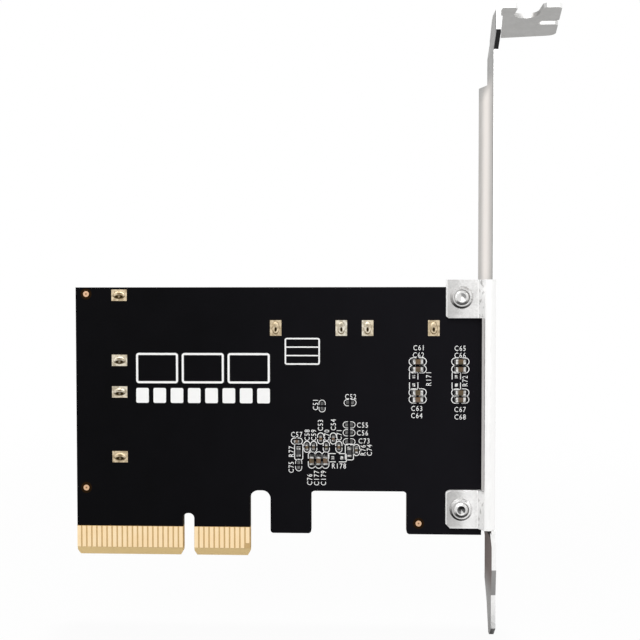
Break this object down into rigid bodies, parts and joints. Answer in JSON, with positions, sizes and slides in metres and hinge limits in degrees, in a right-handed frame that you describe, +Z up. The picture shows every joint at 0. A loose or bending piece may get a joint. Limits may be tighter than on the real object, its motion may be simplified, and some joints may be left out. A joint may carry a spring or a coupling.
{
  "type": "sata controller card",
  "caption": "Expansion card with a bevelled edge connector, right-angle SATA ports, a controller chip and a folded full-height steel slot bracket.",
  "frame": {"origin": "centre of the edge connector's key slot, at the connector's tip, in the middle of the board's thickness", "axes": "+Z up the card away from the connector, +X towards the bracket, the solder side faces -Y"},
  "size_m": [0.0949, 0.0184, 0.1201],
  "materials": {
    "solder_mask": "black solder mask over glass laminate, bare laminate at the connector's tip",
    "plated_gold": "thin gold plating over copper",
    "bracket_steel": "nickel-plated sheet steel, satin",
    "screw_steel": "nickel-plated steel",
    "port_plastic": "black moulded connector plastic",
    "contact_gold": "gold flash on copper alloy",
    "tinned_metal": "bright tin",
    "chip_mould": "black moulding compound",
    "capacitor_ceramic": "tan ceramic",
    "resistor_film": "dark glazed film",
    "crystal_ceramic": "dark ceramic",
    "ferrite": "grey moulded ferrite"
  },
  "bodies": {
    "root": {"circuit_board": "solder_mask", "edge_fingers_solder_side": "plated_gold", "edge_fingers_component_side": "plated_gold", "board_lock_pads_solder_side": "plated_gold", "fiducial_marks": "plated_gold", "slot_bracket": "bracket_steel", "upper_bracket_screw": "screw_steel", "lower_bracket_screw": "screw_steel", "controller_chip": "chip_mould", "controller_terminals": "tinned_metal", "coupling_capacitors": "capacitor_ceramic", "coupling_capacitors_ends": "tinned_metal", "bypass_capacitors": "capacitor_ceramic", "bypass_capacitors_ends": "tinned_metal", "bulk_capacitors": "capacitor_ceramic", "bulk_capacitors_ends": "tinned_metal", "series_resistors": "resistor_film", "series_resistors_ends": "tinned_metal", "spare_pads": "tinned_metal", "crystal_base": "crystal_ceramic", "crystal_can": "tinned_metal", "flash_memory_body": "chip_mould", "flash_memory_leads": "tinned_metal", "power_inductor_core": "ferrite", "power_inductor_terminals": "tinned_metal", "switching_regulator_body": "chip_mould", "switching_regulator_leads": "tinned_metal", "linear_regulator_body": "chip_mould", "linear_regulator_leads": "tinned_metal", "filter_capacitors": "capacitor_ceramic", "filter_capacitors_ends": "tinned_metal", "link_capacitors": "capacitor_ceramic", "link_capacitors_ends": "tinned_metal", "bias_resistors": "resistor_film", "bias_resistors_ends": "tinned_metal", "sata_port_1_housing": "port_plastic", "sata_port_1_contacts": "contact_gold", "sata_port_1_board_locks": "tinned_metal", "sata_port_2_housing": "port_plastic", "sata_port_2_contacts": "contact_gold", "sata_port_2_board_locks": "tinned_metal", "sata_port_3_housing": "port_plastic", "sata_port_3_contacts": "contact_gold", "sata_port_3_board_locks": "tinned_metal", "sata_port_4_housing": "port_plastic", "sata_port_4_contacts": "contact_gold", "sata_port_4_board_locks": "tinned_metal"}
  },
  "joints": []
}
